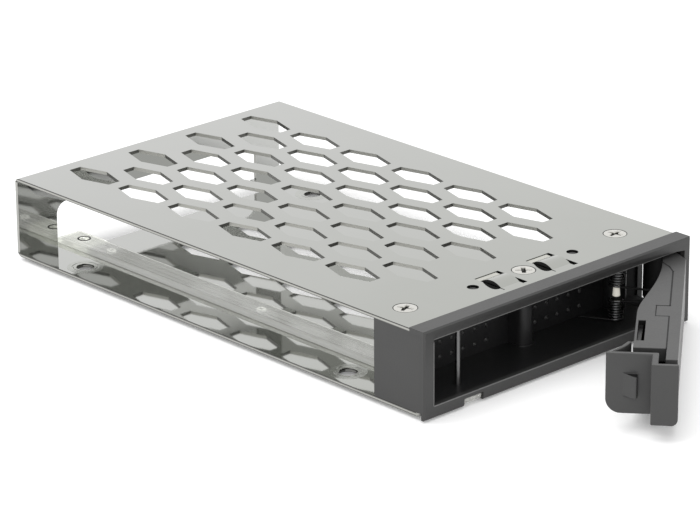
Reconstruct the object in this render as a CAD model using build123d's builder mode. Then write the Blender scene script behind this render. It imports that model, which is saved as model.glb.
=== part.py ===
from build123d import *
import math
import os

# Drive tray of a mobile rack for 2.5 inch drives, in millimetres.
# The origin is the centre of the four drive holes on the tray floor's underside.
# +X runs to the right along the front bezel, +Y to the back, +Z up.

# Drive holes: the bottom pattern of a 2.5 inch drive
drive_hole_dx = 61.72
drive_hole_dy = 76.6
drive_hole_r = 1.7
drive_coin_r = 3.6
drive_coin_root_r = 2.7
drive_coin_depth = 0.2

# Stations along the tray, from the bezel's front face
first_hole_setback = 25.1
front_y = -(first_hole_setback + drive_hole_dy / 2)
tray_depth = 117.6
back_y = front_y + tray_depth
top_setback = 3.96
top_plate_y = front_y + top_setback
floor_setback = 1.7
floor_plate_y = front_y + floor_setback

# Folded steel shell
sheet = 0.7
bend_r = 0.4
plate_corner = 1.0
tray_width = 70.6
tray_height = 16.65
half_w = tray_width / 2
inside_top = tray_height - sheet

# Long hexagons of the top plate, shared by the floor
hex_width = 6.4
hex_length = 12.25
hex_end = 2.8
hex_pitch_x = 7.7
hex_pitch_y = 15.08
hex_rows = 6
floor_hex_rows = 4
hex_mid_setback = 69.7
hex_mid_y = front_y + hex_mid_setback

# Window of the back wall and notch of the floor for the drive's connector
window_left = -25.5
window_right = 28.7
window_top = 8.9
window_corner = 2.5
notch_left = -19.0
notch_right = 27.5
notch_setback = 110.3
notch_y = front_y + notch_setback

# Moulded bezel
fit = 0.1
side_proud = 0.3
lip_proud = 0.3
bezel_width = tray_width + 2 * side_proud
bezel_top = tray_height + lip_proud
bezel_bottom = -0.4
bezel_depth = 13.4
lip_depth = top_setback - fit
flange_depth = 0.8
left_wall = 2.2
right_wall = 1.4
roof_thick = 1.55
cavity_left = left_wall - half_w
cavity_right = half_w - right_wall
cavity_floor = 2.0
cavity_top = inside_top - roof_thick
cavity_depth = 12.5
sill_chamfer = 0.3
wall_y = front_y + cavity_depth
bezel_back_y = front_y + bezel_depth

# Rebate under the bezel's top lip
rebate_depth = 0.9
lip_edge = 0.9
rebate_top = bezel_top - lip_edge
rebate_left = lip_edge - half_w
rebate_bend_x = 13.0

# Vent holes of the bezel's back wall, in two fields
vent_r = 0.45
vent_pitch = 3.02
vent_columns = 5
vent_rows = 4
vent_low_z = 4.07
vent_left_x = -13.26
vent_right_x = 11.99

# Screws that hold the bezel in the shell
screw_head_r = 2.25
screw_head_angle = 90
screw_r = 1.25
screw_length = 6.0
drive_cross = 0.5
drive_cross_span = 2.6
left_screw_x = 6.4 - half_w
right_screw_x = half_w - 8.3
side_screw_setback = 11.8
side_screw_y = front_y + side_screw_setback
mid_screw_x = 0.4
mid_screw_setback = 10.3
mid_screw_y = front_y + mid_screw_setback
mid_boss_r = 1.9
side_boss_r = 2.4
peg_hole_r = 1.15
peg_r = 0.8
peg_drop = 0.35
peg_mid_x = 0.6
peg_pitch = 26.6
peg_setback = 10.6
peg_y = front_y + peg_setback

# Sprung contact fingers of the top plate
finger_mid_x = 0.35
finger_pitch = 13.6
finger_slot_width = 6.2
finger_slot_length = 7.8
finger_width = 4.8
finger_gap = 0.25
finger_root = 1.0
finger_length = 5.1
finger_rise = 0.8
finger_setback = 5.6
finger_front_y = front_y + finger_setback

# Light pipe on the floor, stepping down under the bezel
pipe_x = 12.4 - half_w
pipe_width = 6.0
pipe_thick = 1.1
pipe_tab_length = 9.0
pipe_hole_shift = 0.4
pipe_peg_setbacks = [58.0, 103.0]
pipe_hole_r = 1.35
pipe_peg_r = 0.9
pipe_tongue_width = 4.5
pipe_tongue_thick = 0.95
pipe_step_y = bezel_back_y + 1.2
pipe_step_length = 2.0
pipe_front_gap = 0.25
pipe_back_y = back_y - sheet - 0.3
pipe_channel_gap = 0.2

# Pins that stand in the bezel
pin_bottom = 0.95
pin_top = inside_top - 0.45
pin_fit = 0.02
pivot_x = half_w - 4.3
pivot_setback = 3.5
pivot_y = front_y + pivot_setback
pivot_r = 1.0
catch_setback = 4.4
catch_y = front_y + catch_setback
catch_r = 0.5
spring_x = half_w - 14.0
spring_setback = 5.9
spring_y = front_y + spring_setback
spring_pin_r = 0.35
sleeve_low_r = 0.64
sleeve_high_r = 0.52
sleeve_low = 7.1
sleeve_high = 9.1

# Lever, drawn closed and placed open: along runs from the pivot to the tip,
# in from the outer face towards the bezel's back wall
open_angle = 40.4
lever_gap = 0.3
lever_low = cavity_floor + 0.5
lever_high = cavity_top - lever_gap
face_setout = 4.9
panel_thick = 2.2
neck_thick = 4.4
arm_thick = 8.2
hub_r = 2.5
hub_fit = 0.05
neck_start = 5.4
neck_end = 10.4
neck_mid = 8.0
neck_mid_thick = 2.9
arm_start = 30.0
arm_end = 49.3
panel_end = 54.6
tab_start = 28.3
tab_end = 33.4
tab_reach = 4.7
tab_thick = 0.9
seam = 0.08
housing_wall = 1.2
slot_start = 35.9
slot_end = 45.7
slot_out = 6.4
slot_in = 7.7

# Claw at the lever's root and its window in the bezel's right wall
claw_reach = 7.2
claw_angle = 24.0
claw_root = 3.6
claw_nose = 1.4
claw_window_edge = 1.7
claw_window_front = front_y + claw_window_edge
claw_window_back = bezel_back_y - 0.7
claw_window_low = 1.0

# Sliding latch at the lever's tip
latch_travel = 1.8
latch_plate = 1.1
latch_gap = 0.2
latch_in = 12.9
latch_step_out = 3.4
latch_step_in = 4.6
latch_pad_out = -0.3
latch_corner = 2.8
pad_corner = 1.3
lip_low = 6.2
lip_end = 46.3
lip_mid = 49.6
lip_in = 9.3
lip_thick = 0.8
hook_out = 7.2
hook_in = 10.0
hook_reach = 1.4
hook_height = 4.4
stem_out = 2.9
stem_in = 5.7
stem_back = 38.0
stem_gap = 0.3
shoulder_length = 1.5
shoulder_gap = 0.5
shoulder_step = 1.2
rib_back = 31.0
rib_thick = 1.0

# Springs
spring_wire = 0.45
spring_pitch = 0.53
spring_mean_r = 1.27
spring_lower_turns = 7.05
spring_upper_turns = 5.05
spring_loop_low = 6.35
spring_loop_high = 9.4
spring_back_angle = 200.5
spring_wall_gap = 0.15
spring_neck_gap = 0.1
latch_wire = 0.4
latch_spring_r = 1.35
latch_spring_turns = 6

latch_near = arm_end + latch_travel + latch_gap
latch_face = latch_near + latch_plate
pad_near = panel_end + latch_travel
pad_face = pad_near + latch_plate
catch_x = pivot_x - latch_face - hook_reach
middle_z = (lever_low + lever_high) / 2
hook_low = middle_z - 0.3 - hook_height / 2
shoulder_low = lever_low + housing_wall + shoulder_gap
shoulder_high = lever_high - housing_wall - shoulder_gap
stem_low = shoulder_low + shoulder_step
stem_high = shoulder_high - shoulder_step


def lever_plane(z):
    """Level plane at height z whose X runs back from tip to pivot, lever open."""
    turn = math.radians(open_angle)
    return Plane((pivot_x, pivot_y, z), x_dir=(math.cos(turn), math.sin(turn), 0), z_dir=(0, 0, 1))


def at(along, inward):
    """Point of the lever's plan: along from the pivot, in from the outer face."""
    return (-along, inward - face_setout)


def keep(piece, name):
    """Label a finished piece and write its file."""
    piece.label = name
    export_step(piece, "parts/" + name + ".step")


os.makedirs("parts", exist_ok=True)

# Steel shell: top plate, back wall and floor folded from one sheet
with BuildSketch(mode=Mode.PRIVATE) as long_hexagon:
    with BuildLine():
        Polyline(
            (hex_width / 2, 0), (hex_end / 2, hex_length / 2), (-hex_end / 2, hex_length / 2),
            (-hex_width / 2, 0), (-hex_end / 2, -hex_length / 2), (hex_end / 2, -hex_length / 2),
            close=True)
    make_face()

screw_places = [
    (left_screw_x, side_screw_y), (mid_screw_x, mid_screw_y), (right_screw_x, side_screw_y)]
side_places = [(left_screw_x, side_screw_y), (right_screw_x, side_screw_y)]
peg_places = [(peg_mid_x - peg_pitch / 2, peg_y), (peg_mid_x + peg_pitch / 2, peg_y)]
pipe_peg_places = [(pipe_x, front_y + setback) for setback in pipe_peg_setbacks]
slot_places = [finger_mid_x - finger_pitch / 2, finger_mid_x + finger_pitch / 2]

with BuildPart() as tray_shell:
    with BuildSketch(Plane.YZ) as fold:
        with BuildLine():
            Polyline(
                (floor_plate_y, 0), (back_y, 0), (back_y, tray_height), (top_plate_y, tray_height),
                (top_plate_y, inside_top), (back_y - sheet, inside_top), (back_y - sheet, sheet),
                (floor_plate_y, sheet), close=True)
        make_face()
        outer_corners = fold.vertices().group_by(Axis.X)[-1]
        inner_corners = fold.vertices().group_by(Axis.X)[-2]
        fillet(outer_corners, bend_r + sheet)
        fillet(inner_corners, bend_r)
    extrude(amount=half_w, both=True)
    floor_tips = tray_shell.edges().filter_by(Axis.Z).sort_by(Axis.Z)[:4].sort_by(Axis.Y)[:2]
    fillet(floor_tips, plate_corner)

    # Hexagons of the top plate and of the floor
    with BuildSketch(Plane.XY.offset(inside_top)):
        with Locations((0, hex_mid_y)):
            with GridLocations(2 * hex_pitch_x, hex_pitch_y, 4, hex_rows):
                add(long_hexagon.sketch)
        with Locations((0, hex_mid_y - hex_pitch_y / 2)):
            with GridLocations(2 * hex_pitch_x, hex_pitch_y, 3, hex_rows):
                add(long_hexagon.sketch)
    extrude(amount=sheet, mode=Mode.SUBTRACT)
    with BuildSketch(Plane.XY):
        with Locations((0, hex_mid_y)):
            with GridLocations(2 * hex_pitch_x, hex_pitch_y, 2, floor_hex_rows):
                add(long_hexagon.sketch)
    extrude(amount=sheet, mode=Mode.SUBTRACT)

    # Connector window in the back wall, and the floor's notch below it
    with BuildSketch(Plane.XZ.offset(-back_y)):
        with Locations(((window_left + window_right) / 2, (sheet + window_top) / 2)):
            window = Rectangle(window_right - window_left, window_top - sheet)
        fillet(window.vertices().group_by(Axis.Y)[-1], window_corner)
    extrude(amount=sheet + bend_r, mode=Mode.SUBTRACT)
    with BuildSketch(Plane.XY):
        with Locations(((notch_left + notch_right) / 2, (notch_y + back_y) / 2)):
            Rectangle(notch_right - notch_left, back_y - notch_y)
    extrude(amount=2 * sheet, mode=Mode.SUBTRACT)

    # Drive holes, each in a shallow coined seat of the floor's upper side
    with Locations((0, 0, sheet)):
        with GridLocations(drive_hole_dx, drive_hole_dy, 2, 2):
            Cone(drive_coin_root_r, drive_coin_r, drive_coin_depth,
                 align=(Align.CENTER, Align.CENTER, Align.MAX), mode=Mode.SUBTRACT)
            Hole(drive_hole_r, sheet)

    # Screw seats and peg holes of the top plate
    with Locations([(x, y, tray_height) for x, y in screw_places]):
        CounterSinkHole(screw_r + fit, screw_head_r + fit, sheet, screw_head_angle)
    with BuildSketch(Plane.XY.offset(inside_top)):
        with Locations(peg_places):
            Circle(peg_hole_r)
    extrude(amount=sheet, mode=Mode.SUBTRACT)

    # Screw holes, pipe pegs and the pipe's slot in the floor
    with BuildSketch(Plane.XY):
        with Locations(side_places):
            Circle(screw_head_r + fit)
        with Locations(pipe_peg_places):
            Circle(pipe_peg_r + fit)
        with Locations((pipe_x, (floor_plate_y + pipe_step_y + pipe_step_length) / 2)):
            Rectangle(pipe_tongue_width + 2 * pipe_channel_gap,
                      pipe_step_y + pipe_step_length - floor_plate_y)
    extrude(amount=sheet, mode=Mode.SUBTRACT)

    # Sprung contact fingers: slots, then an arched blade rooted at each slot's front
    with BuildSketch(Plane.XY.offset(inside_top)):
        with Locations([(x, finger_front_y + finger_slot_length / 2) for x in slot_places]):
            Rectangle(finger_slot_width, finger_slot_length)
    extrude(amount=sheet, mode=Mode.SUBTRACT)
    for slot_x in slot_places:
        with BuildSketch(Plane.YZ.offset(slot_x - finger_slot_width / 2 + finger_gap)):
            with BuildLine():
                blade_start = finger_front_y + finger_root
                blade_end = blade_start + finger_length
                crown = ThreePointArc(
                    (blade_start, tray_height),
                    (blade_start + finger_length / 2, tray_height + finger_rise),
                    (blade_end, tray_height))
                Line(crown @ 1, (blade_end, inside_top))
                under = ThreePointArc(
                    (blade_end, inside_top),
                    (blade_start + finger_length / 2, inside_top + finger_rise),
                    (blade_start, inside_top))
                Polyline(under @ 1, (finger_front_y, inside_top), (finger_front_y, tray_height), crown @ 0)
            make_face()
        extrude(amount=finger_width)
keep(tray_shell.part, "tray_shell")

# Bezel: one black moulding with lips in front of both plates
channel_half = pipe_tongue_width / 2 + pipe_channel_gap
with BuildPart() as bezel:
    with BuildSketch(Plane.XY.offset(sheet)):
        with Locations((0, (front_y + bezel_back_y) / 2)):
            Rectangle(tray_width, bezel_depth)
    extrude(amount=inside_top - sheet)
    with BuildSketch(Plane.XY.offset(bezel_bottom)):
        with Locations((0, front_y + flange_depth / 2)):
            Rectangle(bezel_width, flange_depth)
    extrude(amount=bezel_top - bezel_bottom)
    with BuildSketch(Plane.XY.offset(inside_top)):
        with Locations((0, front_y + lip_depth / 2)):
            Rectangle(bezel_width, lip_depth)
    extrude(amount=bezel_top - inside_top)
    rim = bezel.edges().filter_by(Axis.X).group_by(Axis.Y)[0]
    chamfer(rim, sill_chamfer)
    posts = bezel.edges().filter_by(Axis.Z).group_by(Axis.Y)[0]
    chamfer(posts, sill_chamfer)

    # Cavity behind the opening
    with BuildSketch(Plane.XZ.offset(-front_y)):
        with Locations(((cavity_left + cavity_right) / 2, (cavity_floor + cavity_top) / 2)):
            Rectangle(cavity_right - cavity_left, cavity_top - cavity_floor)
    extrude(amount=-cavity_depth, mode=Mode.SUBTRACT)

    # Rebate under the top lip, its right end drawn down in a long bend
    with BuildSketch(Plane.XZ.offset(-front_y)):
        with BuildLine():
            bend_start = (rebate_bend_x, rebate_top)
            Polyline((cavity_right, cavity_top), (rebate_left, cavity_top), (rebate_left, rebate_top),
                     bend_start)
            drop = TangentArc(bend_start, (cavity_right, cavity_top + 0.15), tangent=(1, 0))
            Line(drop @ 1, (cavity_right, cavity_top))
        make_face()
    extrude(amount=-rebate_depth, mode=Mode.SUBTRACT)

    # Screw bosses, the middle one joined to the back wall
    with BuildSketch(Plane.XY.offset(sheet)):
        with Locations((mid_screw_x, mid_screw_y)):
            Circle(mid_boss_r)
        with Locations((mid_screw_x, (mid_screw_y + bezel_back_y) / 2)):
            Rectangle(2 * mid_boss_r, bezel_back_y - mid_screw_y)
        with Locations(side_places):
            Circle(side_boss_r)
    extrude(amount=inside_top - sheet)

    # Locating pegs in the top plate's holes
    with BuildSketch(Plane.XY.offset(inside_top - sheet)):
        with Locations(peg_places):
            Circle(peg_r)
    extrude(amount=2 * sheet - peg_drop)

    # Screw seats from above and below
    with Locations([(x, y, tray_height) for x, y in screw_places]):
        CounterSinkHole(screw_r + fit, screw_head_r + fit, screw_length + fit, screw_head_angle)
    with Locations(Location((0, 0, 0), (180, 0, 0))):
        with Locations([(x, -y, 0) for x, y in side_places]):
            CounterSinkHole(screw_r + fit, screw_head_r + fit, screw_length + fit, screw_head_angle)

    # Vent holes through the back wall
    with BuildSketch(Plane.XZ.offset(-wall_y)):
        with Locations((vent_left_x, vent_low_z + (vent_rows - 1) * vent_pitch / 2),
                       (vent_right_x, vent_low_z + (vent_rows - 1) * vent_pitch / 2)):
            with GridLocations(vent_pitch, vent_pitch, vent_columns, vent_rows):
                Circle(vent_r)
    extrude(amount=-(bezel_depth - cavity_depth), mode=Mode.SUBTRACT)

    # Channel and front notch for the light pipe
    with BuildSketch(Plane.XY.offset(bezel_bottom)):
        with Locations((pipe_x, (front_y + bezel_back_y) / 2)):
            Rectangle(2 * channel_half, bezel_depth)
    extrude(amount=pipe_tongue_thick + pipe_channel_gap - bezel_bottom, mode=Mode.SUBTRACT)

    # Window for the claw in the right wall
    with BuildSketch(Plane.YZ.offset(cavity_right)):
        with Locations(((claw_window_front + claw_window_back) / 2, (claw_window_low + cavity_top) / 2)):
            Rectangle(claw_window_back - claw_window_front, cavity_top - claw_window_low)
    extrude(amount=half_w - cavity_right, mode=Mode.SUBTRACT)

    # Holes that hold the three pins
    with BuildSketch(Plane.XY.offset(pin_bottom)):
        with Locations((pivot_x, pivot_y)):
            Circle(pivot_r + pin_fit)
        with Locations((catch_x, catch_y)):
            Circle(catch_r + pin_fit)
        with Locations((spring_x, spring_y)):
            Circle(spring_pin_r + pin_fit)
    extrude(amount=pin_top - pin_bottom, mode=Mode.SUBTRACT)
keep(bezel.part, "bezel")

# Light pipe: flat tab with a hole, bar with rounded shoulders, stepped tongue
with BuildPart() as light_pipe:
    with BuildSketch(Plane.YZ.offset(pipe_x)) as bar_side:
        with BuildLine():
            step_back = pipe_step_y + pipe_step_length
            Polyline(
                (pipe_back_y, sheet), (pipe_back_y, sheet + pipe_thick),
                (step_back, sheet + pipe_thick), (pipe_step_y, pipe_tongue_thick),
                (front_y + pipe_front_gap, pipe_tongue_thick), (front_y + pipe_front_gap, 0),
                (pipe_step_y + pipe_step_length / 2, 0), (step_back - fit, sheet), close=True)
        make_face()
    extrude(amount=pipe_tongue_width / 2, both=True)
    with BuildSketch(Plane.XZ.offset(-pipe_back_y)) as bar_section:
        with Locations((pipe_x, sheet + pipe_thick / 2)):
            section = Rectangle(pipe_width, pipe_thick)
        fillet(section.vertices().group_by(Axis.Y)[-1], pipe_thick / 2)
    extrude(amount=pipe_back_y - step_back - fit)
    with BuildSketch(Plane.XY.offset(sheet)):
        with Locations((pipe_x, pipe_back_y - pipe_tab_length / 2)):
            Rectangle(pipe_width, pipe_tab_length)
    extrude(amount=pipe_thick)
    with BuildSketch(Plane.XY.offset(sheet)):
        with Locations((pipe_x + pipe_hole_shift, pipe_back_y - pipe_tab_length / 2)):
            Circle(pipe_hole_r)
    extrude(amount=pipe_thick, mode=Mode.SUBTRACT)
    with BuildSketch(Plane.XY.offset(fit)):
        with Locations(pipe_peg_places):
            Circle(pipe_peg_r)
    extrude(amount=sheet)
keep(light_pipe.part, "light_pipe")


def build_pin(x, y, radius, name):
    """Straight pin with broken ends, standing in the bezel's floor and roof."""
    with BuildPart() as pin:
        with BuildSketch(Plane.XY.offset(pin_bottom)):
            with Locations((x, y)):
                Circle(radius)
        extrude(amount=pin_top - pin_bottom)
        chamfer(pin.edges().filter_by(GeomType.CIRCLE), radius / 5)
    keep(pin.part, name)


build_pin(pivot_x, pivot_y, pivot_r, "pivot_pin")
build_pin(catch_x, catch_y, catch_r, "catch_pin")
build_pin(spring_x, spring_y, spring_pin_r, "spring_pin")

# Tapered sleeve on the spring pin, between the spring's two coils
with BuildPart() as spring_sleeve:
    with BuildSketch(Plane((spring_x, spring_y, 0), x_dir=(1, 0, 0), z_dir=(0, -1, 0))):
        with BuildLine():
            bore_r = spring_pin_r + pin_fit
            Polyline((bore_r, sleeve_low), (sleeve_low_r, sleeve_low), (sleeve_high_r, sleeve_high),
                     (bore_r, sleeve_high), close=True)
        make_face()
    revolve(axis=Axis((spring_x, spring_y, 0), (0, 0, 1)))
keep(spring_sleeve.part, "spring_sleeve")

# Flat-head screws with a cross recess, turned once and set in each seat
with BuildPart() as screw:
    with BuildSketch(Plane.XZ):
        with BuildLine():
            Polyline(
                (0, 0), (screw_head_r, 0), (screw_r, screw_r - screw_head_r),
                (screw_r, 0.4 - screw_length), (screw_r - 0.4, -screw_length), (0, -screw_length),
                close=True)
        make_face()
    revolve(axis=Axis.Z)
    with BuildSketch(Plane.XY):
        Rectangle(drive_cross_span, drive_cross)
        Rectangle(drive_cross, drive_cross_span)
    extrude(amount=-0.7, taper=18, mode=Mode.SUBTRACT)

with BuildPart() as top_screws:
    with Locations([(x, y, tray_height) for x, y in screw_places]):
        add(screw.part)
keep(top_screws.part, "top_screws")

with BuildPart() as floor_screws:
    with Locations([Location((x, y, 0), (180, 0, 0)) for x, y in side_places]):
        add(screw.part)
keep(floor_screws.part, "floor_screws")

# Plan of the lever panel: the arm's outer wall, narrowing into the hub
with BuildSketch(mode=Mode.PRIVATE) as panel_plan:
    with BuildLine():
        Polyline(
            at(-1.8, face_setout - 1.6), at(-0.6, 2.2), at(3.6, 0), at(panel_end, 0),
            at(panel_end, panel_thick), at(neck_end, panel_thick), at(neck_mid, neck_mid_thick),
            at(neck_start, neck_thick), at(0, neck_thick), close=True)
    make_face()
    Circle(hub_r)
panel_clearance = offset(panel_plan.sketch, amount=seam, mode=Mode.PRIVATE)

# Lever panel with its claw and a lap tab
with BuildPart() as lever_panel:
    with BuildSketch(lever_plane(lever_low)):
        add(panel_plan.sketch)
        claw_turn = math.radians(claw_angle)
        with BuildLine():
            nose_x = claw_reach * math.cos(claw_turn)
            nose_y = claw_reach * math.sin(claw_turn)
            side_x = -math.sin(claw_turn) / 2
            side_y = math.cos(claw_turn) / 2
            Polyline(
                (claw_root * side_x, claw_root * side_y), (-claw_root * side_x, -claw_root * side_y),
                (nose_x - claw_nose * side_x, nose_y - claw_nose * side_y),
                (nose_x + claw_nose * side_x, nose_y + claw_nose * side_y), close=True)
        make_face()
    extrude(amount=lever_high - lever_low)
    with BuildSketch(lever_plane(lever_high - tab_thick)):
        with BuildLine():
            Polyline(at(tab_start, panel_thick - 0.2), at(tab_end, panel_thick - 0.2),
                     at(tab_end, tab_reach), at(tab_start, tab_reach), close=True)
        make_face()
    extrude(amount=tab_thick)
    with BuildSketch(lever_plane(lever_low)):
        Circle(pivot_r + hub_fit)
    extrude(amount=lever_high - lever_low, mode=Mode.SUBTRACT)
keep(lever_panel.part, "lever_panel")

# Lever housing: hollow inner half of the arm, open towards the panel
seam_in = panel_thick + seam
with BuildPart() as lever_housing:
    with BuildSketch(lever_plane(lever_low)):
        with BuildLine():
            belly = Spline(at(neck_start, neck_thick), at(neck_end + 2, 4.8), at(20.0, 6.1),
                           at(arm_start, arm_thick - 0.1), at(arm_start + 5, arm_thick),
                           tangents=[(-1, 0), (-1, 0)])
            Polyline(belly @ 1, at(arm_end, arm_thick), at(arm_end, panel_thick / 2),
                     at(neck_start, panel_thick / 2), belly @ 0)
        make_face()
        add(panel_clearance, mode=Mode.SUBTRACT)
    extrude(amount=lever_high - lever_low)

    # Pocket for the latch's stem and spring, with a rib behind the spring
    with BuildSketch(lever_plane(lever_low + housing_wall)):
        with BuildLine():
            Polyline(
                at(arm_start, seam_in), at(arm_end - housing_wall, seam_in),
                at(arm_end - housing_wall, arm_thick - housing_wall),
                at(arm_start, arm_thick - housing_wall - 0.3), close=True)
        make_face()
        with BuildLine():
            Polyline(
                at(12.0, seam_in), at(arm_start, seam_in), at(arm_start, arm_thick - housing_wall - 0.3),
                at(20.0, 4.6), at(12.0, neck_thick - housing_wall), close=True)
        make_face()
        with BuildLine():
            Polyline(
                at(rib_back, seam_in), at(rib_back + rib_thick, seam_in),
                at(rib_back + rib_thick, arm_thick), at(rib_back, arm_thick), close=True)
        make_face(mode=Mode.SUBTRACT)
    extrude(amount=lever_high - lever_low - 2 * housing_wall, mode=Mode.SUBTRACT)

    # Long slot of the top wall, the stem's opening and the seat of the lap tab
    with BuildSketch(lever_plane(lever_high - housing_wall)):
        with BuildLine():
            Polyline(at(slot_start, slot_out), at(slot_end, slot_out),
                     at(slot_end, slot_in), at(slot_start, slot_in), close=True)
        make_face()
    extrude(amount=housing_wall, mode=Mode.SUBTRACT)
    with BuildSketch(lever_plane(stem_low - stem_gap)):
        with BuildLine():
            Polyline(
                at(arm_end - housing_wall, seam_in), at(arm_end, seam_in),
                at(arm_end, stem_in + stem_gap), at(arm_end - housing_wall, stem_in + stem_gap),
                close=True)
        make_face()
    extrude(amount=stem_high - stem_low + 2 * stem_gap, mode=Mode.SUBTRACT)
    with BuildSketch(lever_plane(lever_high - tab_thick - seam)):
        with BuildLine():
            Polyline(
                at(tab_start - seam, seam_in), at(tab_end + seam, seam_in),
                at(tab_end + seam, tab_reach + seam), at(tab_start - seam, tab_reach + seam),
                close=True)
        make_face()
    extrude(amount=tab_thick + seam, mode=Mode.SUBTRACT)
keep(lever_housing.part, "lever_housing")

# Sliding latch: stepped end plate, hook wedge, and a stem with a stop shoulder
with BuildPart() as latch_slide:
    with BuildSketch(lever_plane(lever_low)):
        with BuildLine():
            Polyline(
                at(latch_near, latch_in), at(latch_near, latch_step_out), at(pad_near, latch_step_out),
                at(pad_near, latch_pad_out), at(pad_face, latch_pad_out), at(pad_face, latch_step_in),
                at(latch_face, latch_step_in), at(latch_face, latch_in), close=True)
        make_face()
    extrude(amount=lever_high - lever_low)
    sole = latch_slide.edges().group_by(Axis.Z)[0]
    for along, inward, radius in [
            ((latch_near + latch_face) / 2, latch_in, latch_corner),
            ((pad_near + pad_face) / 2, latch_pad_out, pad_corner)]:
        spot = lever_plane(lever_low).from_local_coords((*at(along, inward), 0))
        fillet(sole.sort_by_distance(spot)[0], radius)

    # Curved lip that covers the gap beside the arm's end
    with BuildSketch(lever_plane(lip_low)):
        with BuildLine():
            over = Spline(at(latch_face, latch_in), at(lip_mid, latch_in - 2.0), at(lip_end, lip_in))
            Line(over @ 1, at(lip_end, lip_in - lip_thick))
            under = Spline(at(lip_end, lip_in - lip_thick), at(lip_mid, latch_in - 2.0 - lip_thick),
                           at(latch_near, latch_in - 1.3))
            Polyline(under @ 1, at(latch_face, latch_in - 1.3), over @ 0)
        make_face()
    extrude(amount=lever_high - lip_low)

    # Hook wedge on the inner plate, steep on its outer side
    with BuildSketch(lever_plane(hook_low)):
        with BuildLine():
            Polyline(
                at(latch_face - 0.1, hook_out), at(latch_face + hook_reach, hook_out),
                at(latch_face + hook_reach, hook_out + 0.4), at(latch_face - 0.1, hook_in), close=True)
        make_face()
    extrude(amount=hook_height)

    # Stem and stop shoulder
    with BuildSketch(lever_plane(stem_low)):
        with BuildLine():
            Polyline(
                at(stem_back, stem_out), at(latch_near + 0.1, stem_out), at(latch_near + 0.1, stem_in),
                at(stem_back, stem_in), close=True)
        make_face()
    extrude(amount=stem_high - stem_low)
    shoulder_end = arm_end - housing_wall - latch_gap
    with BuildSketch(lever_plane(shoulder_low)):
        with BuildLine():
            Polyline(
                at(shoulder_end - shoulder_length, stem_out), at(shoulder_end, stem_out),
                at(shoulder_end, stem_in), at(shoulder_end - shoulder_length, stem_in), close=True)
        make_face()
    extrude(amount=shoulder_high - shoulder_low)
keep(latch_slide.part, "latch_slide")


def round_wire(path, wire):
    """Round wire along a path."""
    with BuildPart(mode=Mode.PRIVATE) as run:
        with BuildSketch(Plane(origin=path @ 0, z_dir=path % 0)):
            Circle(wire / 2)
        sweep(path=path, is_frenet=True)
    return run.part


def coiled_wire(path, wire):
    """Wire along a helix, its round section drawn with eight sides of the same area."""
    with BuildPart(mode=Mode.PRIVATE) as run:
        with BuildSketch(Plane(origin=path @ 0, z_dir=path % 0)):
            RegularPolygon(wire / 2 * math.sqrt(math.pi / math.sqrt(8)), 8)
        sweep(path=path, is_frenet=True)
    return run.part


# Compression spring behind the latch's stem
coil_start = rib_back + rib_thick + 0.1 + latch_wire / 2
coil_space = stem_back - coil_start - 0.1 - latch_wire / 2
coil_foot = lever_plane(middle_z).from_local_coords((*at(coil_start, (stem_out + stem_in) / 2), 0))
latch_helix = Helix(coil_space / latch_spring_turns, coil_space, latch_spring_r, coil_foot,
                    -lever_plane(0).x_dir)
latch_spring = coiled_wire(latch_helix, latch_wire)
keep(latch_spring, "latch_spring")

# Double torsion spring: two coils on the spring pin, joined by a loop behind the lever's neck
spring_axis = Axis((spring_x, spring_y, 0), (0, 0, 1))
neck_line = lever_plane(0).from_local_coords((*at(neck_start, neck_thick), 0))
neck_normal = lever_plane(0).y_dir


def torsion_half(turns):
    """Lower half of the spring: back leg, coil, and the run to the lever's neck."""
    height = turns * spring_pitch
    foot = (spring_x, spring_y, spring_loop_low - height)
    helix = Helix(spring_pitch, height, spring_mean_r, foot).rotate(spring_axis, spring_back_angle)
    start, back = helix @ 0, (helix % 0) * -1
    reach = (wall_y - spring_wall_gap - spring_wire / 2 - start.Y) / back.Y
    leg = Line(start, start + back * reach)
    end, ahead = helix @ 1, helix % 1
    gap = spring_neck_gap + spring_wire / 2
    run = ((neck_line - end).dot(neck_normal) + gap) / ahead.dot(neck_normal)
    half = coiled_wire(helix, spring_wire) + round_wire(leg, spring_wire)
    return half, end, end + ahead * run


middle_plane = Plane.XY.offset((spring_loop_low + spring_loop_high) / 2)
lower_half, low_start, low_corner = torsion_half(spring_lower_turns)
upper_half = torsion_half(spring_upper_turns)[0].mirror(middle_plane)
high_start = Vertex(low_start).mirror(middle_plane).center()
high_corner = Vertex(low_corner).mirror(middle_plane).center()
loop = FilletPolyline(low_start, low_corner, high_corner, high_start, radius=2 * spring_wire)
with BuildPart() as lever_spring:
    add(lower_half)
    add(round_wire(loop, spring_wire))
    add(upper_half)
keep(lever_spring.part, "lever_spring")
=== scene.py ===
import math

import bmesh
import bpy
from mathutils import Matrix, Vector


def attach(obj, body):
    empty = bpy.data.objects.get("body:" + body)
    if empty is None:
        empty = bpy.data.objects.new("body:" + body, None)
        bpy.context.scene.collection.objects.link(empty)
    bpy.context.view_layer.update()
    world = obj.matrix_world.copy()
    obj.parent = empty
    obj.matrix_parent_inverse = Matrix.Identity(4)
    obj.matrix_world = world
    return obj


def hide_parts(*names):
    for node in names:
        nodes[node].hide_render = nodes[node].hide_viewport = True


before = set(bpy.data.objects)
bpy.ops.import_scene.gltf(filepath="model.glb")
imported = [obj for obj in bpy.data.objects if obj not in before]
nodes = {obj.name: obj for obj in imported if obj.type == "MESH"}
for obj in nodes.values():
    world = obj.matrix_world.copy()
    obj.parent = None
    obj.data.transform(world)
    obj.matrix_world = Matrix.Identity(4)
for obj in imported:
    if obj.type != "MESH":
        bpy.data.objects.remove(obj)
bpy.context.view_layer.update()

MM = 0.001

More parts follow.
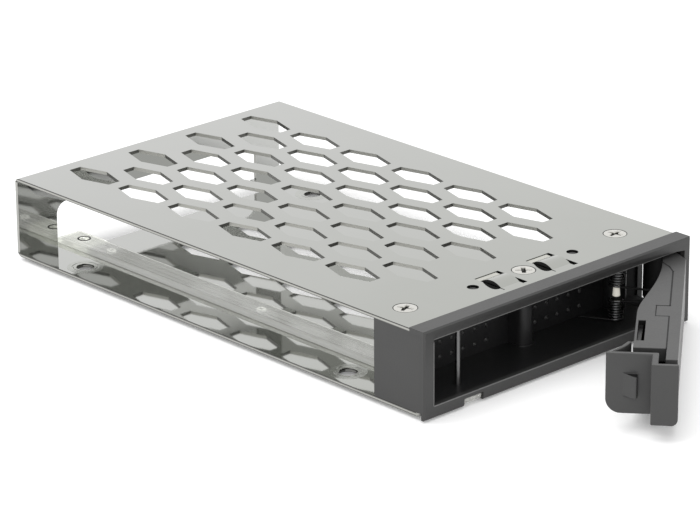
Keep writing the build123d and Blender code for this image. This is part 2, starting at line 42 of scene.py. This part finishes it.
# The picture: camera turned to the tray's front left, from a little above
PICTURE_WIDTH = 700
FOCAL_PIXELS = 3795.2
CAMERA_AZIMUTH = -43.12
CAMERA_ELEVATION = 20.76
CAMERA_ROLL = -0.407
CAMERA_DISTANCE = 759.518
CAMERA_AIM = Vector((8.961, 3.509, 0.0))
SENSOR = 36.0

# Places and sizes of the tray that the scene's own pieces share, in millimetres
SHEET_MM = 0.7
TOP_UNDERSIDE_MM = 15.95
HEAD_TOP_MM = 16.65
HOLE_X_MM = 30.86
HOLE_Y_MM = 38.3
SCREWS_MM = [(-28.9, -51.6, 22.0), (0.4, -53.1, 48.0), (27.0, -51.6, 8.0)]
SLOTS_MM = (-6.45, 7.15)
PIVOT_MM = (31.0, -59.9)
OPEN_ANGLE = 40.4
FACE_SETOUT_MM = 4.9
LEVER_TOP_MM = 14.1
PLATES_MIDDLE_MM = 8.3
BACK_WALL_Y_MM = 53.3
EDGE_X_MM = 34.5
SPRING_PIN_MM = (21.3, -57.5)
COIL_FRONT_Y_MM = -59.05
PIPE_TAB_Y_MM = 43.0
PIPE_TIP_Y_MM = -61.5
PIPE_X_MM = -22.9
PIPE_EYE_MM = (-22.5, 48.7, 1.8)
PIPE_PEGS_MM = (-5.4, 39.6)
FACE_Y_MM = -63.4
CAVITY_MM = (-33.1, 33.9, 2.0, 14.4)

# Heights and lights of the studio, in metres and watts
FLOOR_Z = -0.0008
STUDIO_SIZE = 6.0
FILL_LEVEL = 0.62
BACKDROP_LEVEL = 1.0


class Value:
    """A number that varies over a surface; operators on it add Math nodes."""

    def __init__(self, shader, socket):
        self.shader = shader
        self.socket = socket

    def _math(self, operation, *others):
        return self.shader.node(
            "ShaderNodeMath", {"operation": operation}, {i: v for i, v in enumerate(others)})

    def __add__(self, other):
        return self._math("ADD", self, other)

    def __radd__(self, other):
        return self._math("ADD", other, self)

    def __sub__(self, other):
        return self._math("SUBTRACT", self, other)

    def __rsub__(self, other):
        return self._math("SUBTRACT", other, self)

    def __mul__(self, other):
        return self._math("MULTIPLY", self, other)

    def __rmul__(self, other):
        return self._math("MULTIPLY", other, self)

    def __truediv__(self, other):
        return self._math("DIVIDE", self, other)

    def __pow__(self, other):
        return self._math("POWER", self, other)

    def __lt__(self, other):
        return self._math("LESS_THAN", self, other)

    def __gt__(self, other):
        return self._math("GREATER_THAN", self, other)

    def clamped(self):
        clamp = self._math("ADD", self, 0.0)
        clamp.socket.node.use_clamp = True
        return clamp

    def size(self):
        return self._math("ABSOLUTE", self)

    def near(self, centre, reach):
        """One where the number lies within reach of centre, else zero."""
        return (self - centre).size() < reach


class Shader:
    """One material and the nodes that make its finish."""

    def __init__(self, name):
        self.material = bpy.data.materials.new(name)
        self.material.use_nodes = True
        self.tree = self.material.node_tree
        self.tree.nodes.clear()

    def node(self, kind, settings=None, inputs=None, output=0):
        made = self.tree.nodes.new(kind)
        for key, value in (settings or {}).items():
            if key == "stops":
                ramp = made.color_ramp.elements
                for stop in range(len(value) - 2):
                    ramp.new(0.5)
                for element, (place, colour) in zip(ramp, value):
                    element.position = place
                    element.color = (*colour, 1.0)
            else:
                setattr(made, key, value)
        for key, value in (inputs or {}).items():
            self.feed(made.inputs[key], value)
        return Value(self, made.outputs[output])

    def feed(self, socket, value):
        if isinstance(value, Value):
            self.tree.links.new(value.socket, socket)
        elif socket.type == "RGBA" and len(value) == 3:
            socket.default_value = (*value, 1.0)
        else:
            socket.default_value = value

    def place(self, scale=(1.0, 1.0, 1.0), turn=(0.0, 0.0, 0.0)):
        where = self.node("ShaderNodeTexCoord", output="Object")
        return self.node("ShaderNodeMapping", None, {"Vector": where, "Scale": scale, "Rotation": turn})

    def spot(self, turn=(0.0, 0.0, 0.0)):
        """The point's x, y and z in millimetres."""
        apart = self.tree.nodes.new("ShaderNodeSeparateXYZ")
        self.feed(apart.inputs[0], self.place((1000.0, 1000.0, 1000.0), turn))
        return [Value(self, out) for out in apart.outputs]

    def facing(self):
        """The surface's direction along x, y and z."""
        apart = self.tree.nodes.new("ShaderNodeSeparateXYZ")
        self.feed(apart.inputs[0], self.node("ShaderNodeTexCoord", output="Normal"))
        return [Value(self, out) for out in apart.outputs]

    def noise(self, scale, detail=3.0, roughness=0.5, stretch=(1.0, 1.0, 1.0), turn=(0.0, 0.0, 0.0)):
        return self.node(
            "ShaderNodeTexNoise", None,
            {"Vector": self.place(stretch, turn), "Scale": scale, "Detail": detail, "Roughness": roughness})

    def blend(self, amount, first, second):
        return self.node(
            "ShaderNodeMix", {"data_type": "RGBA"},
            {0: amount, 6: first, 7: second}, output=2)

    def bump(self, height, strength, distance):
        return self.node(
            "ShaderNodeBump", None, {"Height": height, "Strength": strength, "Distance": distance})

    def finish(self, inputs):
        surface = self.node("ShaderNodeBsdfPrincipled", None, inputs)
        self.node_out(surface)
        return self.material

    def node_out(self, surface):
        out = self.tree.nodes.new("ShaderNodeOutputMaterial")
        self.tree.links.new(surface.socket, out.inputs["Surface"])


def stainless():
    """Bright rolled stainless sheet, with duller sheared edges where it is cut, and painted light and shade
    on those cut edges.
    """
    s = Shader("stainless_sheet")
    x, y, z = s.spot()
    nx, ny, nz = s.facing()
    grain = s.noise(1400.0, 2.0, 0.6, stretch=(1.0, 0.04, 1.0))
    cloud = s.noise(45.0, 3.0, 0.55)
    waves = s.noise(22.0, 1.0, 0.4)
    toward_back = ((y + 63.0) / 117.0 + (cloud - 0.5) * 0.35).clamped()
    rolled = s.blend(toward_back, (0.440, 0.448, 0.420), (0.535, 0.540, 0.524))
    wall = (y > BACK_WALL_Y_MM) * (ny.size() > 0.9)
    cut = (nz.size() < 0.3) * (1.0 - wall)
    height = z / SHEET_MM - (z > 8.0) * (TOP_UNDERSIDE_MM / SHEET_MM)
    plates = (z - PLATES_MIDDLE_MM).size() > 7.5
    # Painted shade: dark lines along the top and bottom corners of each cut edge.
    rim_shade = (((height - 0.5) * 2.1).size() ** 3.0).clamped() * plates
    sheared = s.blend(rim_shade, (0.44, 0.44, 0.42), (0.07, 0.07, 0.068))
    side = nx.size() > 0.9
    # Painted shade: the plates' outer side edges darker, dark at their top and bottom with a pale line
    # between.
    outer = side * (x.size() > EDGE_X_MM) * plates
    lines = (((height - 0.42) * 2.4).size() ** 1.5).clamped()
    sheared = s.blend(outer, sheared, s.blend(lines, (0.50, 0.50, 0.47), (0.035, 0.035, 0.033)))
    # Painted light and shade: cut edges lighter or darker by the way they face, as the lamps fall on them.
    slanting = side * ny.size().near(0.28, 0.06)
    sheared = s.blend(slanting * (ny < 0.0), sheared, (0.42, 0.42, 0.39))
    sheared = s.blend(slanting * (ny > 0.0), sheared, (0.17, 0.17, 0.16))
    sheared = s.blend(ny.size() > 0.9, sheared, (0.13, 0.13, 0.12))
    # Painted shade: the cut edges in the finger slots and round the peg holes near black.
    blade = y.near(-53.5, 4.5) * x.near(0.35, 10.5) * (z > 15.5) * side
    peg = ((x - 0.6).size() - 13.3).size() < 1.4
    sheared = s.blend((blade + peg * y.near(-52.8, 1.4) * (z > 15.5)).clamped(), sheared,
                      (0.012, 0.012, 0.012))
    return s.finish({
        "Base Color": s.blend(cut, rolled, sheared),
        "Metallic": 1.0 - cut * 0.35,
        "Roughness": 0.02 + grain * 0.02 + cloud * 0.012 + cut * 0.38,
        "Normal": s.bump(waves + grain * 0.01, 0.12, 0.0001),
    })


def moulded(name, dark, light, roughness, tone=None):
    """Moulded plastic with a fine spark-eroded texture and slight flow clouds."""
    s = Shader(name)
    pits = s.noise(2600.0, 2.0, 0.55)
    cloud = s.noise(70.0, 4.0, 0.6)
    colour = s.blend(cloud, dark, light)
    dull = 0.0
    if tone:
        colour, dull = tone(s, colour)
    return s.finish({
        "Base Color": colour,
        "Roughness": roughness + pits * 0.12 - cloud * 0.05 + dull,
        "Normal": s.bump(pits, 0.35, 0.00004),
    })


def bezel_painted_light(s, colour):
    """Painted shade: near black inside the cavity and in the claw's window; painted highlights: pale lines
    at its sill and brow.
    """
    x, y, z = s.spot()
    nx = s.facing()[0]
    # Painted shade: the inside of the cavity and the claw's window near black.
    inside = x.near(0.4, 33.6) * z.near(8.2, 6.3) * (y > -62.3)
    window = (x > 33.8) * y.near(-56.0, 5.6) * z.near(7.7, 6.9) * (nx < 0.9)
    colour = s.blend((inside + window).clamped(), colour, (0.013, 0.013, 0.0135))
    # Painted highlights: pale lines along the sill and the brow of the cavity's mouth.
    face = y < -63.2
    upright = face * z.near(1.92, 0.12) * x.near(0.4, 33.5)
    brow = z.near(14.42, 0.12) * (y < -62.35) * x.near(0.4, 33.5)
    corner = (x > 29.5) * (y > -59.5) * (nx < 0.9) * z.near(7.7, 7.0)
    return s.blend((upright + brow).clamped(), colour, (0.11, 0.11, 0.11)), corner * 0.5


def lever_painted_shade(s, colour):
    """Painted shade: near black inside the arm, in its slot and on the claw behind the bezel's wall."""
    x, y, z = s.spot()
    nz = s.facing()[2]
    # Painted shade: the arm's inside faces, its slot and the claw near black.
    inside = z.near(PLATES_MIDDLE_MM, 4.7) * (nz.size() > 0.5)
    turn = math.radians(OPEN_ANGLE)
    right, back = x - PIVOT_MM[0], y - PIVOT_MM[1]
    along = (right * math.cos(turn) + back * math.sin(turn)) * -1.0
    inward = back * math.cos(turn) - right * math.sin(turn) + FACE_SETOUT_MM
    slot = along.near(40.8, 5.0) * inward.near(7.05, 0.72) * z.near(9.0, 5.05)
    claw = ((x > 32.2) * (y > -59.8) + (y > -62.0) * (nz < 0.7)).clamped()
    return s.blend((inside + slot + claw).clamped(), colour, (0.006, 0.006, 0.006)), claw * 0.4


def clear_acrylic():
    """Clear acrylic with drawn streaks and a faint green-yellow cast, with a painted glow that is brighter
    in its tab, painted shade at its tip and painted dark lines along it.
    """
    s = Shader("clear_acrylic")
    x, y, z = s.spot()
    draw = s.noise(420.0, 2.0, 0.5, stretch=(1.0, 0.03, 1.0))
    cloud = s.noise(120.0, 2.0, 0.5)
    tab = ((y - PIPE_TAB_Y_MM) * 0.5).clamped()
    across = (x - PIPE_X_MM).size()
    colour = s.blend(draw, (0.84, 0.85, 0.82), (0.96, 0.97, 0.94))
    # Painted shade: the front end of the pipe, under the bezel, darker.
    tip = ((PIPE_TIP_Y_MM - y) * 2.0).clamped()
    colour = s.blend(tip, colour, (0.45, 0.45, 0.43))
    # Painted shade: dark lines along the bar, 0.95 and 2.15 mm either side of its middle.
    colour = s.blend(across.near(2.15, 0.16) * 0.6 + across.near(0.95, 0.12) * 0.4, colour,
                     (0.30, 0.30, 0.29))
    return s.finish({
        "Base Color": colour,
        "Roughness": 0.04 + draw * 0.10 + cloud * 0.05,
        "IOR": 1.49,
        "Transmission Weight": 0.70,
        # Painted light: a faint glow, brighter in the tab and weak at the tip, though the pipe is no lamp.
        "Emission Color": s.blend(
            tip, s.blend(tab, (0.40, 0.40, 0.385), (0.72, 0.73, 0.67)), (0.12, 0.12, 0.12)),
        "Emission Strength": 0.30,
        "Normal": s.bump(draw, 0.3, 0.0001),
    })


def bright_metal(name, colour, roughness):
    """Plated or drawn metal with fine turning marks."""
    s = Shader(name)
    marks = s.noise(1500.0, 2.0, 0.6)
    cloud = s.noise(400.0, 3.0, 0.5)
    tone = s.blend(cloud, [c * 0.88 for c in colour], colour)
    return s.finish({
        "Base Color": tone,
        "Metallic": 1.0,
        "Roughness": roughness + marks * 0.12,
        "Normal": s.bump(marks, 0.15, 0.00002),
    })


def coil_wire():
    """Dark drawn spring wire, with painted shade making its legs in front of the coils nearly black."""
    s = Shader("coil_wire")
    x, y, z = s.spot()
    marks = s.noise(1500.0, 2.0, 0.6)
    # Painted shade: the legs in front of the coils nearly black.
    leg = y < COIL_FRONT_Y_MM
    return s.finish({
        "Base Color": s.blend(leg, (0.17, 0.17, 0.17), (0.012, 0.012, 0.012)),
        "Metallic": 1.0 - leg,
        "Specular IOR Level": 0.08,
        "Roughness": 0.30 + marks * 0.10,
        "Normal": s.bump(marks, 0.15, 0.00002),
    })


def plated_screw():
    """Nickel plate, duller in the driver recess, with painted shade darkening the recess."""
    s = Shader("plated_screw")
    x, y, z = s.spot()
    marks = s.noise(1800.0, 2.0, 0.6)
    # Painted shade: the recess darker the deeper it goes.
    depth = ((HEAD_TOP_MM - 0.06 - z) * 3.2).clamped()
    return s.finish({
        "Base Color": s.blend(depth, (0.70, 0.69, 0.65), (0.10, 0.10, 0.095)),
        "Metallic": 1.0,
        "Roughness": 0.13 + marks * 0.08 + depth * 0.15,
        "Normal": s.bump(marks, 0.15, 0.00002),
    })


def nylon():
    """Natural nylon of the spring's sleeve, with a faint painted glow."""
    s = Shader("natural_nylon")
    cloud = s.noise(600.0, 3.0, 0.5)
    return s.finish({
        "Base Color": s.blend(cloud, (0.78, 0.75, 0.66), (0.86, 0.83, 0.74)),
        "Roughness": 0.38 + cloud * 0.1,
        # Painted light: a faint glow, though the sleeve is no lamp.
        "Emission Color": (0.80, 0.78, 0.70),
        "Emission Strength": 0.30,
    })


def dress(name, material):
    """Give a carried-over node its finish."""
    slots = nodes[name].data.materials
    slots.clear()
    slots.append(material)


steel = stainless()
bezel_black = moulded("bezel_black", (0.036, 0.036, 0.0355), (0.045, 0.045, 0.0445), 0.33, bezel_painted_light)
lever_black = moulded("lever_black", (0.039, 0.039, 0.0385), (0.051, 0.051, 0.0505), 0.33, lever_painted_shade)
# Near-black stand-in for shade: the seams' shadow, the rings round the screw heads, the tab hole's rim and
# the blocks at the claw's window.
shade_black = moulded("shade_black", (0.003, 0.003, 0.003), (0.005, 0.005, 0.005), 0.6)
# Painted highlight grey for the pale strips round the cavity's mouth.
edge_highlight_grey = moulded("edge_highlight_grey", (0.13, 0.13, 0.128), (0.18, 0.18, 0.177), 0.3)
tail_steel = moulded("tail_steel", (0.40, 0.40, 0.36), (0.48, 0.48, 0.44), 0.35)
seat_steel = bright_metal("seat_steel", (0.52, 0.53, 0.50), 0.06)
acrylic = clear_acrylic()
nickel = bright_metal("nickel_plate", (0.74, 0.72, 0.68), 0.18)
ground_pin = bright_metal("ground_pin", (0.20, 0.20, 0.20), 0.28)
spring_wire = coil_wire()
screw_plate = plated_screw()
sleeve = nylon()

for node_name, material in {
        "tray_shell": steel, "bezel": bezel_black, "light_pipe": acrylic, "pivot_pin": ground_pin,
        "catch_pin": ground_pin, "spring_pin": ground_pin, "spring_sleeve": sleeve,
        "top_screws": nickel, "floor_screws": nickel,
        "lever_spring": spring_wire, "latch_spring": spring_wire, "lever_panel": lever_black,
        "lever_housing": lever_black, "latch_slide": lever_black}.items():
    dress(node_name, material)


def link(name, mesh, material):
    """Put a finished mesh in the scene."""
    made = bpy.data.objects.new(name, mesh)
    bpy.context.scene.collection.objects.link(made)
    made.data.materials.append(material)
    return made


def mesh_from(bm, name):
    """Finish a bmesh built in millimetres as a mesh in metres."""
    bmesh.ops.scale(bm, vec=(MM, MM, MM), verts=bm.verts)
    bmesh.ops.recalc_face_normals(bm, faces=bm.faces)
    mesh = bpy.data.meshes.new(name)
    bm.to_mesh(mesh)
    bm.free()
    return mesh


def smooth_step(low, high, value):
    part = min(max((value - low) / (high - low), 0.0), 1.0)
    return part * part * (3.0 - 2.0 * part)


def recess_depth(x, y):
    """Depth of the cross recess at a point of the head."""
    arm = 0.50 - 0.12 * math.hypot(x, y)
    along = max(abs(x) - 1.55, abs(y) - arm)
    across = max(abs(y) - 1.55, abs(x) - arm)
    centre = math.hypot(x, y) - 0.62
    return 0.75 * (1.0 - smooth_step(-0.14, 0.05, min(along, across, centre)))


def screws():
    """Countersunk screws, slightly crowned, with a cross recess."""
    whole = bmesh.new()
    for x, y, turn in SCREWS_MM:
        bm = bmesh.new()
        line = [(2.16 * step / 24, 0.10 * (1.0 - (step / 24) ** 2)) for step in range(25)]
        line += [(2.25, -0.07), (2.22, -0.16), (1.25, -1.1), (1.25, -5.8), (0.0, -6.0)]
        verts = [bm.verts.new((r, 0.0, z)) for r, z in line]
        edges = [bm.edges.new(pair) for pair in zip(verts, verts[1:])]
        bmesh.ops.spin(bm, geom=verts + edges, cent=(0, 0, 0), axis=(0, 0, 1), angle=math.tau,
                       steps=96, use_merge=True)
        bmesh.ops.remove_doubles(bm, verts=bm.verts, dist=0.0005)
        for vert in bm.verts:
            if vert.co.z > -0.05:
                vert.co.z -= recess_depth(vert.co.x, vert.co.y)
        bmesh.ops.rotate(bm, cent=(0, 0, 0), matrix=Matrix.Rotation(math.radians(turn), 3, "Z"),
                         verts=bm.verts)
        bmesh.ops.translate(bm, vec=(x, y, HEAD_TOP_MM), verts=bm.verts)
        piece = bpy.data.meshes.new("one_screw")
        bm.to_mesh(piece)
        bm.free()
        whole.from_mesh(piece)
        bpy.data.meshes.remove(piece)
    made = link("head_screws", mesh_from(whole, "head_screws"), screw_plate)
    for polygon in made.data.polygons:
        polygon.use_smooth = True
    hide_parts("top_screws")
    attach(made, "tray")


def softened(name, body, radius, material):
    """A moulded node's own shape with its sharp edges rounded off."""
    bm = bmesh.new()
    bm.from_mesh(nodes[name].data)
    bmesh.ops.remove_doubles(bm, verts=bm.verts, dist=2e-6)
    bmesh.ops.dissolve_limit(bm, angle_limit=math.radians(1.0), verts=bm.verts, edges=bm.edges)
    sharp = [edge for edge in bm.edges if len(edge.link_faces) == 2
             and edge.calc_length() > 0.3 * MM and edge.calc_face_angle() > math.radians(40)]
    bmesh.ops.bevel(bm, geom=sharp, offset=radius * MM, segments=3, profile=0.5, affect="EDGES",
                    clamp_overlap=False, material=-1)
    bmesh.ops.triangulate(bm, faces=bm.faces)
    mesh = bpy.data.meshes.new(name + "_soft")
    bm.to_mesh(mesh)
    bm.free()
    made = link(name + "_soft", mesh, material)
    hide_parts(name)
    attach(made, body)


def spring_bush():
    """Tapered sleeve on the lever spring's pin."""
    bm = bmesh.new()
    line = [(0.36, 7.1), (0.68, 7.1), (0.74, 7.2), (0.60, 9.0), (0.54, 9.1), (0.36, 9.1)]
    verts = [bm.verts.new((r, 0.0, z)) for r, z in line]
    edges = [bm.edges.new((verts[i], verts[(i + 1) % 6])) for i in range(6)]
    bmesh.ops.spin(bm, geom=verts + edges, cent=(0, 0, 0), axis=(0, 0, 1), angle=math.tau,
                   steps=48, use_merge=True)
    bmesh.ops.translate(bm, vec=(*SPRING_PIN_MM, 0.0), verts=bm.verts)
    made = link("spring_bush", mesh_from(bm, "spring_bush"), sleeve)
    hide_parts("spring_sleeve")
    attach(made, "tray")


def block(name, low, high, material):
    """Plain block between two corners, in millimetres."""
    bm = bmesh.new()
    made = bmesh.ops.create_cube(bm, size=1.0)["verts"]
    bmesh.ops.scale(bm, vec=[b - a for a, b in zip(low, high)], verts=made)
    bmesh.ops.translate(bm, vec=[(a + b) / 2 for a, b in zip(low, high)], verts=made)
    made = link(name, mesh_from(bm, name), material)
    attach(made, "tray")


def mouth_highlights():
    """Painted highlights: pale strips along the edges round the mouth of the cavity."""
    left, right, low, high = CAVITY_MM
    front, back = FACE_Y_MM - 0.02, FACE_Y_MM + 0.10
    block("mouth_edge_left", (left - 0.16, front, low), (left + 0.02, back, high),
          edge_highlight_grey)
    block("mouth_edge_high", (left, front + 0.90, high - 0.02), (right - 0.6, back + 0.90, high + 0.13),
          edge_highlight_grey)
    block("mouth_edge_low", (left, front, low - 0.14), (right, back, low + 0.02),
          edge_highlight_grey)


def drive_seats():
    """Coined seat round each drive hole, almost level with the floor plate."""
    line = [(1.76, -0.05), (3.68, -0.05), (3.66, 0.012), (2.72, 0.012), (2.62, -0.02), (2.42, -0.02),
            (2.34, 0.008), (1.82, 0.008)]
    for number, (side, end) in enumerate(((-1, -1), (1, -1), (-1, 1), (1, 1))):
        bm = bmesh.new()
        verts = [bm.verts.new((r, 0.0, z)) for r, z in line]
        edges = [bm.edges.new((verts[i], verts[(i + 1) % len(verts)])) for i in range(len(verts))]
        bmesh.ops.spin(bm, geom=verts + edges, cent=(0, 0, 0), axis=(0, 0, 1), angle=math.tau,
                       steps=64, use_merge=True)
        bmesh.ops.translate(bm, vec=(side * HOLE_X_MM, end * HOLE_Y_MM, SHEET_MM), verts=bm.verts)
        name = "drive_seat_%d" % number
        made = link(name, mesh_from(bm, name), seat_steel)
        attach(made, "tray")


def pipe_eye():
    """Painted shade: a dark ring round the hole in the light pipe's tab."""
    ring("pipe_eye", PIPE_EYE_MM, 1.05, 1.40, 0.04, shade_black)


def ring(name, centre, inner, outer, thick, material):
    """Flat ring, its foot at centre, turned about an upright axis."""
    bm = bmesh.new()
    verts = [bm.verts.new((r, 0.0, z)) for r, z in [
        (inner, 0.0), (outer, 0.0), (outer, thick), (inner, thick)]]
    edges = [bm.edges.new((verts[i], verts[(i + 1) % 4])) for i in range(4)]
    bmesh.ops.spin(bm, geom=verts + edges, cent=(0, 0, 0), axis=(0, 0, 1), angle=math.tau,
                   steps=64, use_merge=True)
    bmesh.ops.translate(bm, vec=centre, verts=bm.verts)
    made = link(name, mesh_from(bm, name), material)
    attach(made, "tray")


def finger_tails():
    """Flat tail of each contact finger, tucked below the plate at the slot's back."""
    bm = bmesh.new()
    for x in SLOTS_MM:
        made = bmesh.ops.create_cube(bm, size=1.0)["verts"]
        bmesh.ops.scale(bm, vec=(5.4, 1.25, 0.3), verts=made)
        bmesh.ops.translate(bm, vec=(x - 0.25, -50.72, 16.38), verts=made)
    bmesh.ops.bevel(bm, geom=bm.edges, offset=0.05, segments=2, profile=0.5, affect="EDGES",
                    material=-1)
    made = link("finger_tails", mesh_from(bm, "finger_tails"), tail_steel)
    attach(made, "tray")


def on_lever(along, inward):
    """Point of the open lever's plan, along from the pivot and in from the outer face."""
    turn = math.radians(OPEN_ANGLE)
    ahead, aside = -along, inward - FACE_SETOUT_MM
    return (PIVOT_MM[0] + ahead * math.cos(turn) - aside * math.sin(turn),
            PIVOT_MM[1] + ahead * math.sin(turn) + aside * math.cos(turn))


def seam_line(name, points, width, height=LEVER_TOP_MM):
    """Shadowed parting line between the two halves of the lever."""
    bm = bmesh.new()
    for (a0, i0), (a1, i1) in zip(points, points[1:]):
        start, end = Vector((*on_lever(a0, i0), 0.0)), Vector((*on_lever(a1, i1), 0.0))
        run = end - start
        made = bmesh.ops.create_cube(bm, size=1.0)["verts"]
        bmesh.ops.scale(bm, vec=(run.length + width, width, 0.03), verts=made)
        bmesh.ops.rotate(bm, cent=(0, 0, 0), verts=made,
                         matrix=Matrix.Rotation(math.atan2(run.y, run.x), 3, "Z"))
        middle = (start + end) / 2
        bmesh.ops.translate(bm, vec=(middle.x, middle.y, height - 0.003), verts=made)
    made = link(name, mesh_from(bm, name), shade_black)
    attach(made, "lever")


def studio_floor():
    """Plain pale floor under the tray."""
    s = Shader("studio_floor")
    paths = s.tree.nodes.new("ShaderNodeLightPath")
    seen = Value(s, paths.outputs["Is Camera Ray"])
    white = s.node("ShaderNodeBsdfDiffuse", None, {"Color": (0.90, 0.90, 0.90)})
    glow = s.node("ShaderNodeEmission", None, {"Color": (1.0, 1.0, 1.0), "Strength": 0.19})
    both = s.node("ShaderNodeAddShader", None, {0: white, 1: glow})
    s.node_out(s.node("ShaderNodeMixShader", None, {0: seen, 1: white, 2: both}))
    bm = bmesh.new()
    bmesh.ops.create_grid(bm, x_segments=1, y_segments=1, size=STUDIO_SIZE / 2,
                          matrix=Matrix.Translation((0.0, 0.0, FLOOR_Z)))
    mesh = bpy.data.meshes.new("studio_floor")
    bm.to_mesh(mesh)
    bm.free()
    floor = link("studio_floor", mesh, s.material)


def studio_world():
    """White surroundings for the camera and reflections, softer for the light they give."""
    world = bpy.data.worlds.new("studio")
    bpy.context.scene.world = world
    world.use_nodes = True
    tree = world.node_tree
    tree.nodes.clear()
    paths = tree.nodes.new("ShaderNodeLightPath")
    first = tree.nodes.new("ShaderNodeMath")
    first.operation = "MAXIMUM"
    second = tree.nodes.new("ShaderNodeMath")
    second.operation = "MAXIMUM"
    tree.links.new(paths.outputs["Is Camera Ray"], first.inputs[0])
    tree.links.new(paths.outputs["Is Glossy Ray"], first.inputs[1])
    tree.links.new(first.outputs[0], second.inputs[0])
    tree.links.new(paths.outputs["Is Transmission Ray"], second.inputs[1])
    level = tree.nodes.new("ShaderNodeMapRange")
    level.inputs["To Min"].default_value = FILL_LEVEL
    level.inputs["To Max"].default_value = BACKDROP_LEVEL
    tree.links.new(second.outputs[0], level.inputs["Value"])
    ground = tree.nodes.new("ShaderNodeBackground")
    ground.inputs["Color"].default_value = (1.0, 1.0, 1.0, 1.0)
    tree.links.new(level.outputs["Result"], ground.inputs["Strength"])
    out = tree.nodes.new("ShaderNodeOutputWorld")
    tree.links.new(ground.outputs["Background"], out.inputs["Surface"])


def soft_light(name, place, aim, size, power):
    """Square softbox aimed at a point; the steel mirrors the backdrop and not the lamp."""
    data = bpy.data.lights.new(name, "AREA")
    data.shape = "SQUARE"
    data.size = size
    data.energy = power
    lamp = bpy.data.objects.new(name, data)
    lamp.location = place
    lamp.rotation_mode = "QUATERNION"
    lamp.rotation_quaternion = (Vector(aim) - Vector(place)).to_track_quat("-Z", "Y")
    lamp.visible_glossy = False
    bpy.context.scene.collection.objects.link(lamp)


def place_camera():
    """Camera from its azimuth, elevation, roll and distance to the aim."""
    azimuth, elevation = math.radians(CAMERA_AZIMUTH), math.radians(CAMERA_ELEVATION)
    roll = math.radians(CAMERA_ROLL)
    back = Vector((math.sin(azimuth) * math.cos(elevation),
                   -math.cos(azimuth) * math.cos(elevation), math.sin(elevation)))
    level = Vector((math.cos(azimuth), math.sin(azimuth), 0.0))
    rise = back.cross(level)
    right = math.cos(roll) * level + math.sin(roll) * rise
    up = math.cos(roll) * rise - math.sin(roll) * level
    data = bpy.data.cameras.new("camera")
    data.sensor_width = SENSOR
    data.lens = FOCAL_PIXELS * SENSOR / PICTURE_WIDTH
    data.clip_start = 0.01
    data.clip_end = 50.0
    camera = bpy.data.objects.new("camera", data)
    camera.rotation_mode = "QUATERNION"
    camera.rotation_quaternion = Matrix((right, up, back)).transposed().to_quaternion()
    camera.location = (CAMERA_AIM + back * CAMERA_DISTANCE) * MM
    bpy.context.scene.collection.objects.link(camera)
    bpy.context.scene.camera = camera


screws()
softened("latch_slide", "latch", 0.22, lever_black)
softened("lever_housing", "lever", 0.12, lever_black)
softened("lever_panel", "lever", 0.12, lever_black)
softened("light_pipe", "tray", 0.25, acrylic)
spring_bush()
mouth_highlights()
drive_seats()
for number, peg_y in enumerate(PIPE_PEGS_MM):
    ring("pipe_peg_%d" % number, (PIPE_X_MM, peg_y, 1.78), 0.5, 1.0, 0.08, acrylic)
block("rebate_end", (-34.42, -63.38, 14.39), (-33.08, -62.52, 16.05), bezel_black)
# Black blocks put where there is only shade at the claw's window: one narrows its bright slit, the other
# fills its front edge.
block("slit_edge", (33.92, -51.4, 1.1), (35.28, -50.98, 14.38), shade_black)
block("claw_shade", (34.90, -61.72, 11.8), (35.26, -60.05, 14.42), shade_black)
pipe_eye()
# Painted shadow: a thin dark ring in each screw's seat, round its head.
for number, (screw_x, screw_y, turn) in enumerate(SCREWS_MM):
    ring("screw_seat_%d" % number, (screw_x, screw_y, HEAD_TOP_MM - 0.02), 2.26, 2.37, 0.025,
         shade_black)
ring("boss_foot", (*SCREWS_MM[1][:2], 2.0), 1.88, 2.12, 0.12, ground_pin)
finger_tails()
seam_line("seam_front", [(28.2, 4.75), (28.2, 2.24), (10.4, 2.24), (8.0, 2.95), (5.45, 4.45)], 0.30)
seam_line("seam_back", [(33.5, 2.24), (49.2, 2.24)], 0.26)
seam_line("seam_tab", [(33.45, 2.3), (33.45, 4.75), (28.3, 4.75)], 0.08)
studio_floor()
studio_world()
soft_light("top_softbox", (-0.15, 0.10, 0.95), (0.0, 0.0, 0.0), 0.9, 7.0)
soft_light("front_softbox", (-0.55, -0.75, 0.45), (0.0, 0.0, 0.0), 0.6, 3.0)
place_camera()
bpy.context.scene.view_settings.view_transform = "Standard"
